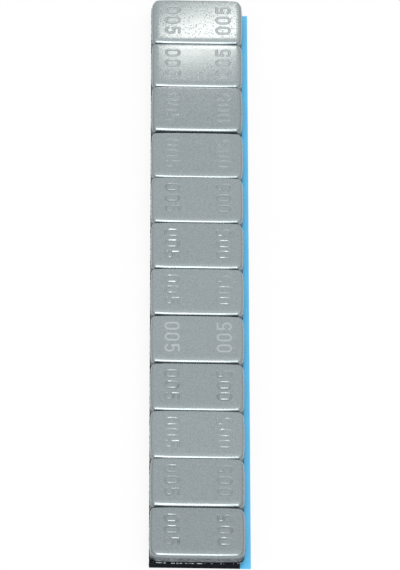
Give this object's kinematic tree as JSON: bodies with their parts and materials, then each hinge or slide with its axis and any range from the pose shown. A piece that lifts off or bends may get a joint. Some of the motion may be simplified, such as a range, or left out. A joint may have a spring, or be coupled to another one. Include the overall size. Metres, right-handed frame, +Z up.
{
  "type": "wheel balance weight",
  "caption": "Stick-on wheel balance weight: a strip of painted steel weights with rolled edges on one foam adhesive tape, over a peel-off release liner.",
  "frame": {"origin": "middle of the liner's underside, the face that the strip lies on", "axes": "+Y along the strip towards its far end, +Z up out of the weights' top faces, +X across the strip towards the side where the liner sticks out"},
  "size_m": [0.0202, 0.1442, 0.0044],
  "materials": {
    "weight_paint": "silver-grey semi-gloss paint with a fine grain, on steel",
    "foam": "matt black closed-cell foam with cut sides",
    "liner": "smooth sky-blue release film, slightly glossy"
  },
  "bodies": {
    "root": {"weight_01": "weight_paint", "weight_02": "weight_paint", "weight_03": "weight_paint", "weight_04": "weight_paint", "weight_05": "weight_paint", "weight_06": "weight_paint", "weight_07": "weight_paint", "weight_08": "weight_paint", "weight_09": "weight_paint", "weight_10": "weight_paint", "weight_11": "weight_paint", "weight_12": "weight_paint", "foam_tape": "foam", "release_liner": "liner"}
  },
  "joints": []
}
